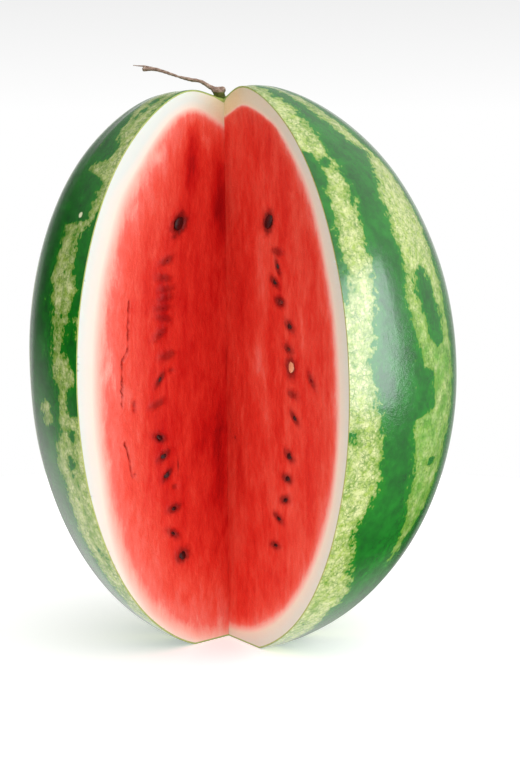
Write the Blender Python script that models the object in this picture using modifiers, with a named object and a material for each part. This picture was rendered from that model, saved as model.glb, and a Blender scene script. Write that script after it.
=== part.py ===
"""A striped watermelon standing on its blossom end, with one long wedge cut out of it.

Metres, +Z up. The origin is the middle of the small flat spot that the fruit rests on. The cut
opens towards -Y and runs from pole to pole, and the dry stem at the top points to -X.

The fruit is one solid. The stem and each seed are pieces of their own: the stem's root sits in a
pit in the stem cavity, and each seed sits in a pocket in one of the two cut faces.
"""

import math

import bmesh
import bpy
from mathutils import Matrix, Vector

# The fruit, upright about its own axis
EQUATOR_RADIUS = 0.120
HALF_LENGTH = 0.161  # from the middle to either pole, before the stem cavity sinks the top one
FULLNESS = 2.05  # 2 is an ellipse, and more has squarer shoulders
AXIS_BOW = 0.0065  # how far the middle bulges to +X of the line between the poles
CAVITY_DEPTH = 0.011
CAVITY_SPREAD_FRONT = 0.0182  # where the cavity is a third as deep, towards the cut-out
CAVITY_SPREAD_BACK = 0.033
CAVITY_SKEW = 0.0028  # how much tighter the cavity is to +X, and wider to -X
RINGS = 34
RING_EASE = 1.35  # over 1 sets the rings closer together at the stem end
FRUIT_SIDES = 56

# How the fruit stands
LEAN = math.radians(2.5)  # the stem end leans this far to -X
FLAT_DEPTH = 0.005  # what the resting flat takes off the blossom end
FLAT_STEPS = 200  # how finely the outline is followed to find the flat's middle

# The cut-out: its inner edge runs between these points of the two polar planes
EDGE_TOP = Vector((0.003, -0.004))
EDGE_BOTTOM = Vector((-0.009, 0.0))
LEFT_FACE_TURN = math.radians(-44)  # from -Y, as seen from above
RIGHT_FACE_TURN = math.radians(32)

# The stem
ROOT_DEPTH = 0.0038
KNOB_HEIGHT = 0.0070
KNOB_RADIUS = 0.0042
KNOB_SIDES = 14
SHAFT_THICKNESS = 0.0022
STEM_CLEARANCE = 0.0003

# The seeds
SEED_LENGTH = 0.0090
SEED_WIDTH = 0.0058
SEED_THICKNESS = 0.0024
SEED_TAPER = 0.35  # how much narrower the pointed end is
SEED_SIDES = 10
SEED_RINGS = 6
SEED_CLEARANCE = 0.0003

# Each seed's place on its cut face and how it lies there: its height as a share of the inner edge,
# its distance from that edge as a share of the way to the rind's rim, how far its point turns from
# upright towards the rim, how far its point dips into the flesh (degrees), and how far it stands
# proud of the face (metres).
LEFT_SEEDS = (
    (0.760, 0.36, -50, 8, 0.0013),
    (0.703, 0.44, 20, 70, 0.0009),
    (0.673, 0.45, -10, 75, 0.0008),
    (0.653, 0.43, 5, 80, 0.0008),
    (0.638, 0.43, 10, 80, 0.0009),
    (0.622, 0.45, 0, 78, 0.0010),
    (0.605, 0.44, -15, 75, 0.0009),
    (0.580, 0.47, 30, 65, 0.0010),
    (0.543, 0.42, 10, 60, 0.0009),
    (0.500, 0.47, 50, 75, 0.0009),
    (0.461, 0.49, 15, 70, 0.0005),
    (0.404, 0.47, -20, 45, 0.0012),
    (0.371, 0.47, 30, 50, 0.0011),
    (0.336, 0.46, 40, 55, 0.0012),
    (0.277, 0.43, 10, 50, 0.0010),
    (0.232, 0.45, -30, 60, 0.0008),
    (0.190, 0.42, 15, 25, 0.0011),
)
RIGHT_SEEDS = (
    (0.760, 0.44, 25, 12, 0.0012),
    (0.713, 0.50, 5, 70, 0.0004),
    (0.686, 0.50, 60, 65, 0.0009),
    (0.663, 0.46, 30, 50, 0.0009),
    (0.632, 0.49, 10, 40, 0.0009),
    (0.592, 0.56, 25, 45, 0.0010),
    (0.554, 0.54, 15, 50, 0.0008),
    (0.522, 0.55, -5, 15, 0.0009),
    (0.503, 0.72, 50, 70, 0.0008),
    (0.477, 0.57, 10, 65, 0.0004),
    (0.437, 0.59, 40, 60, 0.0010),
    (0.373, 0.55, 20, 40, 0.0011),
    (0.334, 0.54, 5, 45, 0.0010),
    (0.296, 0.53, -15, 50, 0.0010),
    (0.261, 0.50, 20, 55, 0.0009),
    (0.212, 0.49, 0, 60, 0.0007),
)
# Pockets whose seeds have dropped out, in the same form
LEFT_EMPTY_POCKETS = (
    (0.511, 0.38, 80, 35, 0.0010),
    (0.308, 0.41, 60, 30, 0.0010),
)

CUTTER_MARGIN = 0.05  # how far a cutter runs past what it cuts


def clear_scene():
    for obj in list(bpy.data.objects):
        bpy.data.objects.remove(obj)


def new_collection(name):
    collection = bpy.data.collections.new(name)
    bpy.context.scene.collection.children.link(collection)
    return collection


def new_material(name, colour, roughness):
    material = bpy.data.materials.new(name)
    material.use_nodes = True
    material.diffuse_color = (*colour, 1)
    shader = material.node_tree.nodes["Principled BSDF"]
    shader.inputs["Base Color"].default_value = (*colour, 1)
    shader.inputs["Roughness"].default_value = roughness
    shader.inputs["Metallic"].default_value = 0
    return material


def rind_material():
    return new_material("rind", (0.06, 0.24, 0.05), 0.30)


def flesh_material():
    return new_material("flesh", (0.62, 0.03, 0.03), 0.45)


def stem_material():
    return new_material("dry_stem", (0.20, 0.13, 0.09), 0.80)


def seed_material():
    return new_material("seed_coat", (0.025, 0.010, 0.008), 0.30)


def add(mesh, name, collection, material, parent, matrix=None):
    obj = bpy.data.objects.new(name, mesh)
    collection.objects.link(obj)
    mesh.materials.append(material)
    obj.parent = parent
    obj.matrix_local = matrix or Matrix()
    return obj


def as_cutter(obj):
    obj.hide_render = True
    obj.display_type = "WIRE"
    return obj


def mesh_of(obj):
    """What the object's modifiers or its curve make, as a mesh of its own."""
    bpy.context.view_layer.update()
    graph = bpy.context.evaluated_depsgraph_get()
    mesh = bpy.data.meshes.new_from_object(obj.evaluated_get(graph))
    bm = bmesh.new()
    bm.from_mesh(mesh)
    bmesh.ops.remove_doubles(bm, verts=bm.verts, dist=1e-6)
    bm.to_mesh(mesh)
    bm.free()
    mesh.materials.clear()
    return mesh


def turned(profile, sides):
    """The mesh of a profile of (radius, height), from top to bottom, turned about Z."""
    outline = bpy.data.meshes.new("profile")
    points = [(radius, 0, height) for radius, height in profile]
    outline.from_pydata(points, [(i, i + 1) for i in range(len(points) - 1)], [])
    obj = bpy.data.objects.new("profile", outline)
    bpy.context.scene.collection.objects.link(obj)
    screw = obj.modifiers.new("turn", "SCREW")
    screw.steps = screw.render_steps = sides
    screw.use_merge_vertices = True
    screw.merge_threshold = 0.00001
    screw.use_smooth_shade = True
    mesh = mesh_of(obj)
    bpy.data.objects.remove(obj)
    return mesh


def cut(obj, name, tool):
    """Takes a cutter, or every cutter of a collection, out of the object."""
    boolean = obj.modifiers.new(name, "BOOLEAN")
    boolean.operation = "DIFFERENCE"
    boolean.solver = "EXACT"
    boolean.material_mode = "TRANSFER"
    if isinstance(tool, bpy.types.Collection):
        boolean.operand_type = "COLLECTION"
        boolean.collection = tool
    else:
        boolean.object = tool


def body_radius(height):
    """The fruit's radius at a height above its middle."""
    share = min(abs(height) / HALF_LENGTH, 1)
    return EQUATOR_RADIUS * (1 - share**FULLNESS) ** (1 / FULLNESS)


def bow(height):
    return AXIS_BOW * (1 - (height / HALF_LENGTH) ** 2)


def cavity(x, y):
    """How far the stem cavity sinks the surface at this place beside the stem."""
    radius = max(math.hypot(x, y), 1e-6)
    backward = ((1 + y / radius) / 2) ** 2
    spread = CAVITY_SPREAD_FRONT - CAVITY_SKEW * x / radius
    spread += (CAVITY_SPREAD_BACK - CAVITY_SPREAD_FRONT) * backward
    return CAVITY_DEPTH * math.exp(-((radius / spread) ** 2))


def body_profile():
    """(radius, height) from the stem end down to the blossom end, without the cavity or the bow."""
    points = []
    for ring in range(RINGS + 1):
        angle = math.pi * (ring / RINGS) ** RING_EASE
        radius = EQUATOR_RADIUS * max(math.sin(angle), 0) ** (2 / FULLNESS)
        height = HALF_LENGTH * math.copysign(abs(math.cos(angle)) ** (2 / FULLNESS), math.cos(angle))
        points.append((radius, height))
    points[-1] = (0, -HALF_LENGTH)
    return points


def standing_frame():
    """The fruit's own frame, leaning as the fruit does, with the middle of its flat at the origin."""
    lean = Matrix.Rotation(-LEAN, 4, "Y")
    heights = [-HALF_LENGTH + step * FLAT_DEPTH / FLAT_STEPS for step in range(4 * FLAT_STEPS)]
    outline = [
        lean @ Vector((bow(height) + side * body_radius(height), 0, height))
        for height in heights
        for side in (-1, 1)
    ]
    floor = min(point.z for point in outline) + FLAT_DEPTH
    cut_off = [point.x for point in outline if point.z <= floor]
    middle = (min(cut_off) + max(cut_off)) / 2
    frame = bpy.data.objects.new("fruit_frame", None)
    bpy.context.scene.collection.objects.link(frame)
    frame.matrix_world = Matrix.Translation((-middle, 0, -floor)) @ lean
    return frame


def fruit_mesh():
    mesh = turned(body_profile(), FRUIT_SIDES)
    for vertex in mesh.vertices:
        x, y, height = vertex.co
        vertex.co.x += bow(height)
        if height > 0:
            vertex.co.z -= cavity(x, y)
    mesh.shade_smooth()
    return mesh


def flat_cutter(collection, material):
    """A block whose top is the plane that the fruit rests on."""
    block = bmesh.new()
    bmesh.ops.create_cube(block, size=1)
    size = Vector((2 * EQUATOR_RADIUS, 2 * EQUATOR_RADIUS, CUTTER_MARGIN))
    bmesh.ops.scale(block, vec=size, verts=block.verts)
    mesh = bpy.data.meshes.new("flat_cutter")
    block.to_mesh(mesh)
    block.free()
    place = Matrix.Translation((0, 0, -CUTTER_MARGIN / 2))
    return as_cutter(add(mesh, "flat_cutter", collection, material, None, place))


def inner_edge(share):
    """The point this far up the cut-out's inner edge, from 0 at the bottom to 1 at the top."""
    foot = Vector((*EDGE_BOTTOM, -HALF_LENGTH))
    head = Vector((*EDGE_TOP, HALF_LENGTH))
    return foot.lerp(head, share)


def face_direction(turn):
    """Level, from the inner edge towards the rim of the cut face that has this turn."""
    return Vector((math.sin(turn), -math.cos(turn), 0))


def face_width(start, direction):
    """How far it is from a point of the inner edge to the fruit's skin, in this direction."""
    radius = body_radius(start.z)
    offset = (start - Vector((bow(start.z), 0, start.z))).to_2d()
    towards = offset.dot(direction.to_2d())
    return math.sqrt(towards**2 + radius**2 - offset.length_squared) - towards


def notch_cutter(collection, material, frame):
    """A three-cornered prism, sheared so that one edge of it is the cut-out's inner edge."""
    reach = 2 * EQUATOR_RADIUS
    outline = bpy.data.curves.new("notch_outline", "CURVE")
    outline.dimensions = "2D"
    outline.fill_mode = "BOTH"
    outline.extrude = HALF_LENGTH + CUTTER_MARGIN
    spline = outline.splines.new("POLY")
    spline.points.add(2)
    spline.points[1].co = (*(face_direction(LEFT_FACE_TURN) * reach), 1)
    spline.points[2].co = (*(face_direction(RIGHT_FACE_TURN) * reach), 1)
    spline.use_cyclic_u = True
    curve = bpy.data.objects.new("notch_outline", outline)
    bpy.context.scene.collection.objects.link(curve)
    mesh = mesh_of(curve)
    bpy.data.objects.remove(curve)
    slope = (EDGE_TOP - EDGE_BOTTOM) / (2 * HALF_LENGTH)
    mesh.transform(Matrix.Shear("XY", 4, slope))
    mesh.transform(Matrix.Translation(inner_edge(0.5)))
    return as_cutter(add(mesh, "notch_cutter", collection, material, frame))


def knob_profile(clearance):
    """The stem's root and knob, or with a clearance the pit that they sit in."""
    shape = ((0, 0.97), (0.40, 1.0), (0.86, 0.92), (1.0, 0.72), (0.90, 0.48), (0.96, 0.22), (0.88, 0))
    knob = [(radius * KNOB_RADIUS, height * KNOB_HEIGHT) for radius, height in shape]
    root = [(0.30 * KNOB_RADIUS, -0.92 * ROOT_DEPTH), (0, -ROOT_DEPTH)]
    points = [(radius + clearance, height - clearance) for radius, height in knob + root]
    points[0] = (0, points[0][1] + 2 * clearance)
    points[-1] = (0, points[-1][1])
    return points


def stem_foot():
    """The floor of the stem cavity, in the fruit's frame."""
    return Matrix.Translation((0, 0, HALF_LENGTH - CAVITY_DEPTH))


def pit_cutter(collection, material, frame):
    mesh = turned(knob_profile(STEM_CLEARANCE), KNOB_SIDES)
    return as_cutter(add(mesh, "pit_cutter", collection, material, frame, stem_foot()))


def shaft_mesh():
    """The dry shaft: from inside the knob it rises to -X, with a kink and a thin neck halfway."""
    knots = (
        ((-0.0012, 0.0000, 0.0046), 1.35),
        ((-0.0045, -0.0006, 0.0066), 1.20),
        ((-0.0098, -0.0014, 0.0100), 0.90),
        ((-0.0165, -0.0020, 0.0116), 0.98),
        ((-0.0222, -0.0019, 0.0133), 0.64),
        ((-0.0262, -0.0012, 0.0149), 0.80),
        ((-0.0310, 0.0000, 0.0167), 0.86),
        ((-0.0352, 0.0012, 0.0180), 0.98),
        ((-0.0410, 0.0022, 0.0182), 1.10),
    )
    curve = bpy.data.curves.new("shaft", "CURVE")
    curve.dimensions = "3D"
    curve.bevel_depth = SHAFT_THICKNESS / 2
    curve.bevel_resolution = 2
    curve.use_fill_caps = True
    curve.resolution_u = 4
    spline = curve.splines.new("BEZIER")
    spline.bezier_points.add(len(knots) - 1)
    for point, (place, thickness) in zip(spline.bezier_points, knots):
        point.co = place
        point.radius = thickness
        point.handle_left_type = point.handle_right_type = "AUTO"
    obj = bpy.data.objects.new("shaft", curve)
    bpy.context.scene.collection.objects.link(obj)
    mesh = mesh_of(obj)
    bpy.data.objects.remove(obj)
    return mesh


def add_stem(parts, helpers, material, frame):
    shaft = as_cutter(add(shaft_mesh(), "shaft_tool", helpers, material, frame, stem_foot()))
    knob = turned(knob_profile(0), KNOB_SIDES)
    stem = add(knob, "stem", parts, material, frame, stem_foot())
    join = stem.modifiers.new("shaft", "BOOLEAN")
    join.operation = "UNION"
    join.solver = "EXACT"
    join.object = shaft


def seed_mesh(name, clearance):
    """A flat drop: thickness along X, width along Y, and its point at +Z."""
    drop = bmesh.new()
    bmesh.ops.create_uvsphere(drop, u_segments=SEED_SIDES, v_segments=SEED_RINGS, radius=1)
    size = [side / 2 + clearance for side in (SEED_THICKNESS, SEED_WIDTH, SEED_LENGTH)]
    for vertex in drop.verts:
        narrow = 1 - SEED_TAPER * max(vertex.co.z, 0)
        vertex.co.x *= size[0]
        vertex.co.y *= size[1] * narrow
        vertex.co.z *= size[2]
    mesh = bpy.data.meshes.new(name)
    drop.to_mesh(mesh)
    drop.free()
    mesh.shade_smooth()
    return mesh


def seat(face_turn, side, height, across, turn, dip, proud):
    """Where a seed lies, as a matrix in the fruit's frame.

    side is 1 on the left face and -1 on the right one, and the rest is as in the seed lists.
    """
    foot = inner_edge(height)
    rimward = face_direction(face_turn)
    up = (inner_edge(1) - inner_edge(0)).normalized()
    outward = up.cross(rimward).normalized() * side
    sideways = up.cross(outward)
    dip = math.radians(dip)
    reach = math.hypot(SEED_THICKNESS / 2 * math.cos(dip), SEED_LENGTH / 2 * math.sin(dip))
    place = foot + rimward * face_width(foot, rimward) * across + outward * (proud - reach)
    axes = Matrix((outward, sideways, up)).transposed().to_4x4()
    turned_seed = Matrix.Rotation(math.radians(turn) * side, 4, "X")
    return Matrix.Translation(place) @ axes @ turned_seed @ Matrix.Rotation(-dip, 4, "Y")


def seed_seats():
    """The seat of every seed by its name, then those of the empty pockets."""
    left = [seat(LEFT_FACE_TURN, 1, *seed) for seed in LEFT_SEEDS]
    right = [seat(RIGHT_FACE_TURN, -1, *seed) for seed in RIGHT_SEEDS]
    filled = {f"seed_left_{i:02}": place for i, place in enumerate(left, 1)}
    filled |= {f"seed_right_{i:02}": place for i, place in enumerate(right, 1)}
    return filled, [seat(LEFT_FACE_TURN, 1, *pocket) for pocket in LEFT_EMPTY_POCKETS]


def add_seeds(parts, pockets, material, flesh, frame):
    filled, empty = seed_seats()
    for name, place in filled.items():
        add(seed_mesh(name, 0), name, parts, material, frame, place)
    for i, place in enumerate([*filled.values(), *empty], 1):
        name = f"pocket_{i:02}"
        as_cutter(add(seed_mesh(name, SEED_CLEARANCE), name, pockets, flesh, frame, place))


def main():
    clear_scene()
    parts = new_collection("watermelon")
    cutters = new_collection("cutters")
    pockets = new_collection("pocket_cutters")
    rind = rind_material()
    flesh = flesh_material()
    stem = stem_material()
    frame = standing_frame()
    fruit = add(fruit_mesh(), "melon", parts, rind, frame)
    add_seeds(parts, pockets, seed_material(), flesh, frame)
    add_stem(parts, cutters, stem, frame)
    cut(fruit, "resting flat", flat_cutter(cutters, rind))
    cut(fruit, "wedge", notch_cutter(cutters, flesh, frame))
    cut(fruit, "stem pit", pit_cutter(cutters, rind, frame))
    cut(fruit, "seed pockets", pockets)


main()
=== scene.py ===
"""The looks of a striped watermelon that stands on its blossom end with a long wedge cut out.

The skin, the flesh with its two cut faces, the dry stem and every seed are fine meshes that stand for
the CAD nodes. Metres, in the CAD frame: +Z up, the cut-out opens towards -Y, the stem points to -X.
"""

import math
from functools import reduce

import bmesh
import bpy
import numpy as np
from mathutils import Matrix, Vector, noise
from mathutils.bvhtree import BVHTree


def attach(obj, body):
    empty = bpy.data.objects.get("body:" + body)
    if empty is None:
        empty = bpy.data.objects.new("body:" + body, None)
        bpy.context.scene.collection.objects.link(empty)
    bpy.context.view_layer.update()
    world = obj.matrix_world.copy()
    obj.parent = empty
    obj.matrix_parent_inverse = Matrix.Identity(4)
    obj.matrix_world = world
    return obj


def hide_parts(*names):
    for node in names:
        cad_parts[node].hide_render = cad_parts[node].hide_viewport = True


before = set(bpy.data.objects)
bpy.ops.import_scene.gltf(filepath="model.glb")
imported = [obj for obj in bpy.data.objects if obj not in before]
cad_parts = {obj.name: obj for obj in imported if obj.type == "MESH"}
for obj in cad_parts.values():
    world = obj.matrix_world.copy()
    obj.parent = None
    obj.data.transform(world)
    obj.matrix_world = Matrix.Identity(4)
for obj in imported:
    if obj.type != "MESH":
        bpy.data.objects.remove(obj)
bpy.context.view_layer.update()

MM = 0.001

# The fruit's shape, with the same values as the CAD part
EQUATOR_RADIUS = 0.120
HALF_LENGTH = 0.161
FULLNESS = 2.05
AXIS_BOW = 0.0065
CAVITY_DEPTH = 0.011
CAVITY_SPREAD_FRONT = 0.0182
CAVITY_SPREAD_BACK = 0.033
CAVITY_SKEW = 0.0028
LEAN = math.radians(2.5)
FLAT_DEPTH = 0.005
FLAT_STEPS = 200
EDGE_TOP = np.array((0.003, -0.004))
EDGE_BOTTOM = np.array((-0.009, 0.0))
LEFT_FACE_TURN = math.radians(-44)
RIGHT_FACE_TURN = math.radians(32)

# The skin's shell
SKIN_THICKNESS = 0.9 * MM
STEM_SKIN_EXTRA = 5.0 * MM  # how much thicker the green layer is at the stem
STEM_SKIN_REACH = 4.6 * MM

# Mesh fineness
FAN_STEPS = 700  # rays that each section of the fruit is first found with
FLESH_ROWS = 360
SKIN_ROWS = FLESH_ROWS // 2
SKIN_COLUMNS = 230
INNER_COLUMNS = 40  # on the flesh's outer side, which the skin hides
FACE_COLUMNS = 104
ROW_EASE = 1.12  # over 1 sets the rows closer together at the stem end

FRUIT_LENGTH = 2 * HALF_LENGTH / MM  # in mm, which height shares are of


# ---- the fruit's shape


def body_radius(height):
    share = np.minimum(np.abs(height) / HALF_LENGTH, 1)
    return EQUATOR_RADIUS * (1 - share**FULLNESS) ** (1 / FULLNESS)


def bow(height):
    return AXIS_BOW * (1 - (height / HALF_LENGTH) ** 2)


def cavity(x, y):
    """How far the stem cavity sinks the surface at this place beside the stem."""
    radius = np.maximum(np.hypot(x, y), 1e-6)
    backward = ((1 + y / radius) / 2) ** 2
    spread = CAVITY_SPREAD_FRONT - CAVITY_SKEW * x / radius
    spread = spread + (CAVITY_SPREAD_BACK - CAVITY_SPREAD_FRONT) * backward
    return CAVITY_DEPTH * np.exp(-((radius / spread) ** 2))


def standing_frame():
    """The fruit's own frame as a 4 by 4 array: it leans, and the middle of its flat is the origin."""
    lean = np.array(Matrix.Rotation(-LEAN, 4, "Y"))
    heights = -HALF_LENGTH + np.arange(4 * FLAT_STEPS) * FLAT_DEPTH / FLAT_STEPS
    radii = body_radius(heights)
    sides = [np.stack([bow(heights) + side * radii, 0 * heights, heights], 1) for side in (-1, 1)]
    outline = np.concatenate(sides) @ lean[:3, :3].T
    floor = outline[:, 2].min() + FLAT_DEPTH
    cut_off = outline[outline[:, 2] <= floor, 0]
    lean[:3, 3] = (-(cut_off.min() + cut_off.max()) / 2, 0, -floor)
    return lean


FRUIT_FRAME = standing_frame()


def to_world(points):
    return points @ FRUIT_FRAME[:3, :3].T + FRUIT_FRAME[:3, 3]


def to_fruit(points):
    return (points - FRUIT_FRAME[:3, 3]) @ FRUIT_FRAME[:3, :3]


def inner_edge(height):
    """Points of the cut-out's inner edge at these heights over the fruit's middle."""
    share = np.asarray(height) / (2 * HALF_LENGTH) + 0.5
    flat = EDGE_BOTTOM + share[..., None] * (EDGE_TOP - EDGE_BOTTOM)
    return np.concatenate([flat, np.asarray(height)[..., None]], -1)


def outsideness(points, inset):
    """Below 0 inside the fruit and over 0 outside it, for a surface this far under the skin."""
    x, y, z = np.moveaxis(points, -1, 0)
    height = z
    for _ in range(3):
        height = z + np.where(z > 0, cavity(x - bow(height), y), 0)
    across = np.hypot(x - bow(height), y) / (EQUATOR_RADIUS - inset)
    body = across**FULLNESS + (np.abs(height) / (HALF_LENGTH - inset)) ** FULLNESS - 1
    over_floor = points @ FRUIT_FRAME[2, :3] + FRUIT_FRAME[2, 3] - inset
    return np.maximum(body, -over_floor / HALF_LENGTH)


def layer_depth(points, inset):
    """A layer's depth under the skin, which grows round the stem if it is a layer at all."""
    distance = np.hypot(points[..., 0], points[..., 1])
    near_stem = np.exp(-((distance / STEM_SKIN_REACH) ** 2)) * (points[..., 2] > 0)
    return inset + (STEM_SKIN_EXTRA * near_stem if inset > 0 else 0)


def swell(points):
    """The small waves of the fruit's surface, in metres, at points of the world."""
    local = to_fruit(points)
    around = np.arctan2(local[:, 0], -local[:, 1])
    ribs = np.stack([around * 5.5, local[:, 2] * 9, 0 * around + 3.1], 1)
    fine = np.stack([around * 14, local[:, 2] * 30, 0 * around + 8.7], 1)
    return (0.40 * noise_at(local * 22) + 0.34 * noise_at(ribs) + 0.060 * noise_at(fine)) * MM


def sections(turns, rows, inset):
    """The fruit's outline in each half plane that starts at the inner edge and has one of these turns.

    Gives points of the world by row, from the top of the inner edge to its bottom, and by turn.
    """
    fan = np.linspace(0, math.pi, FAN_STEPS)
    directions = np.stack([np.sin(turns), -np.cos(turns), 0 * turns], -1)
    sine, cosine = np.sin(fan)[:, None], np.cos(fan)[:, None]
    low = np.zeros((FAN_STEPS, len(turns)))
    high = np.full_like(low, 2 * HALF_LENGTH)

    def place(reach):
        foot = inner_edge(reach * cosine)
        return foot + directions * (reach * sine)[..., None]

    for _ in range(36):
        middle = (low + high) / 2
        points = place(middle)
        outside = outsideness(points, layer_depth(points, inset)) > 0
        high = np.where(outside, middle, high)
        low = np.where(outside, low, middle)
    outline = to_world(place(low))
    steps = np.linalg.norm(np.diff(outline, axis=0), axis=-1)
    along = np.concatenate([np.zeros((1, len(turns))), np.cumsum(steps, 0)])
    share = np.linspace(0, 1, rows + 1) ** ROW_EASE
    out = np.empty((rows + 1, len(turns), 3))
    for column, reach in enumerate(along.T):
        for axis in range(3):
            out[:, column, axis] = np.interp(share * reach[-1], reach, outline[:, column, axis])
    out[0], out[-1] = out[0].mean(0), out[-1].mean(0)
    return out


def waved(outer, layer):
    """A layer's points moved by the waves of the skin over them, in their own half planes."""
    centre = to_world(inner_edge(0.0))
    away = outer - centre
    away /= np.linalg.norm(away, axis=-1, keepdims=True)
    flat = outer.reshape(-1, 3)
    waves = swell(flat).reshape(outer.shape[:-1])
    calm = np.clip(outer[..., 2] / (8 * MM), 0, 1)
    calm[0] = calm[-1] = 0
    return layer + away * (waves * calm)[..., None]


# ---- meshes


def woven(name, sheets, fields=None):
    """One closed mesh from sheets, each (points by row and column, UV corners), that share borders.

    fields holds, by attribute name, the values for each sheet's points.
    """
    points = np.concatenate([sheet.reshape(-1, 3) for sheet, _ in sheets])
    keys = np.round(points / 1e-7).astype(np.int64)
    _, first, same = np.unique(keys, axis=0, return_index=True, return_inverse=True)
    same = same.reshape(-1).tolist()
    faces, uvs, start = [], [], 0
    for sheet, uv_corners in sheets:
        rows, columns = sheet.shape[:2]
        index = (start + np.arange(rows * columns)).reshape(rows, columns)
        start += rows * columns
        u, v = sheet_uvs(sheet, *uv_corners)
        for r in range(rows - 1):
            for c in range(columns - 1):
                corners = ((r, c), (r, c + 1), (r + 1, c + 1), (r + 1, c))
                face, uv = [], []
                for row, column in corners:
                    vertex = same[index[row, column]]
                    if vertex not in face:
                        face.append(vertex)
                        uv.append((u[column], v[row]))
                if len(face) > 2:
                    faces.append(face)
                    uvs.extend(uv)
    mesh = bpy.data.meshes.new(name)
    mesh.from_pydata(points[first].tolist(), [], faces)
    layer = mesh.uv_layers.new(name="OFBake")
    layer.data.foreach_set("uv", np.array(uvs, np.float32).ravel())
    for field, values in (fields or {}).items():
        add_attribute(mesh, field, np.concatenate([value.reshape(-1) for value in values])[first])
    mesh.shade_smooth()
    mesh.validate()
    return mesh


def sheet_uvs(sheet, left, bottom, right, top):
    """U by column and V by row, spaced as the sheet's points are."""
    down = np.linalg.norm(np.diff(sheet, axis=0), axis=-1).mean(1)
    across = np.linalg.norm(np.diff(sheet[len(sheet) // 2], axis=0), axis=-1)
    u, v = (np.concatenate([[0], np.cumsum(steps)]) / steps.sum() for steps in (across, down))
    return left + (right - left) * u, top - (top - bottom) * v


def ladder(count, peaks):
    """Shares from 0 to 1 that are set closer where a peak (middle, half width, density) says so."""
    fine = np.linspace(0, 1, 4001)
    density = np.ones_like(fine)
    for middle, half_width, extra in peaks:
        density += extra / (1 + np.exp((np.abs(fine - middle) - half_width) / 0.012))
    total = np.concatenate([[0], np.cumsum((density[1:] + density[:-1]) / 2)])
    return np.interp(np.linspace(0, total[-1], count + 1), total, fine)


def face_sheet(rim, columns):
    """A flat cut face between the inner edge, where each row starts, and the rim, where it ends."""
    share = np.linspace(0, 1, len(rim)) ** ROW_EASE
    edge = rim[0] + share[:, None] * (rim[-1] - rim[0])
    return edge[:, None] + columns[None, :, None] * (rim - edge)[:, None]


def placed(name, data):
    """A new object in the scene."""
    obj = bpy.data.objects.new(name, data)
    bpy.context.scene.collection.objects.link(obj)
    return obj


def new_piece(name, mesh, material, node):
    """Adds a piece that stands for a CAD node."""
    obj = placed(name, mesh)
    mesh.materials.append(material)
    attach(obj, "root")
    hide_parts(node)


def add_attribute(mesh, name, values):
    layer = mesh.attributes.new(name, "FLOAT", "POINT")
    layer.data.foreach_set("value", np.asarray(values, np.float32))


def mesh_points(mesh):
    flat = np.empty(3 * len(mesh.vertices), np.float32)
    mesh.vertices.foreach_get("co", flat)
    return flat.reshape(-1, 3).astype(float)


def smooth_step(values, low, high):
    share = np.clip((values - low) / (high - low), 0, 1)
    return share * share * (3 - 2 * share)


def noise_at(points):
    """Smooth noise from about -1 to 1 at each of these points, whose lumps are about one unit."""
    return np.array([noise.noise(Vector(point)) for point in points])


# ---- the skin


def blot(heights, first, last):
    """A small patch by four heights, and for each edge its turn at the outer and the inner two."""
    return tuple(tuple(zip(heights, (outer, inner, inner, outer))) for outer, inner in (first, last))


# The light bands by their two edges, each a list of (height over the fruit's middle in mm, turn in
# degrees from -Y towards +X). The cut-out is between about 313 and 28. A band ends where its edges
# cross.
BAND_AT_RIGHT_RIM = (
    ((20, 20), (45, 29.5), (98, 32.5), (108, 35.5), (119, 34), (124, 20)),
    (
        (-133, 39), (-120, 42), (-93, 35), (-82, 33), (-60, 38), (-26, 38),
        (0, 34), (38, 38), (95, 41), (120, 41), (145, 43),
    ),
)
BAND_RIGHT = (
    (
        (-113, 59), (-96, 57), (-85, 55.5), (-62, 53), (-37, 51), (-24, 49.5), (-21, 56), (-18, 58.5),
        (-1, 58.3), (3, 56.8), (7, 54), (17, 52), (36, 50.5),
        (76, 53), (94, 54), (110, 61), (118, 67), (126, 58), (143, 56),
    ),
    (
        (-113, 57), (-96, 60), (-86, 63), (-75, 66.5), (-57, 69), (-36, 70.5), (-20, 73), (42, 71),
        (72, 73),
        (98, 75), (112, 74), (124, 70), (143, 66),
    ),
)
BAND_LEFT = (
    (
        (-120, 303), (-98, 302), (-79, 301), (-60, 301), (-41, 300), (-17, 305), (0, 305.5),
        (7, 302), (35, 303.4), (61, 299), (81, 301), (87, 300), (90, 311.5), (105, 312.8), (110, 312.4),
        (112, 309), (115, 300.5), (118, 302), (121, 310), (125, 313.5), (131, 307), (136, 306),
        (141, 302), (147, 295),
    ),
    (
        (-16, 322), (-12, 308.5), (-4, 308.5), (2, 312), (9, 313), (19, 308), (35, 309.5),
        (54, 312.5), (61, 309), (81, 310), (98, 316.5), (116, 320),
    ),
)
LIGHT_BANDS = (
    BAND_AT_RIGHT_RIM,
    BAND_RIGHT,
    BAND_LEFT,
    blot((24, 29, 41, 46), (316, 312.6), (312, 322)),
    blot((-24, -19, -9, -5), (298, 294.5), (294, 300)),
)
DARK_ISLANDS = (
    (
        ((8, 72), (15, 60), (24, 57), (34, 56), (44, 55), (55, 57.5), (64, 68)),
        ((8, 56), (15, 65), (24, 66.5), (34, 65), (44, 64), (55, 62.5), (64, 54)),
    ),
    (((107, 46), (112, 34), (115, 33), (121, 44)), ((107, 32), (112, 39), (115, 41), (121, 34))),
    blot((-33, -30, -25, -22), (31, 26), (27, 29.5)),
    blot((-54, -51, -47, -44), (65, 59), (58, 63)),
    blot((-29, -26, -22, -19), (311, 308.5), (308, 311)),
    blot((-43, -41, -37, -35), (308, 306), (306, 309)),
)
BACK_BANDS = range(97, 280, 35)  # the middles of the bands round the back, in degrees
BACK_BAND_HALF_WIDTH = 7.5
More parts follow.
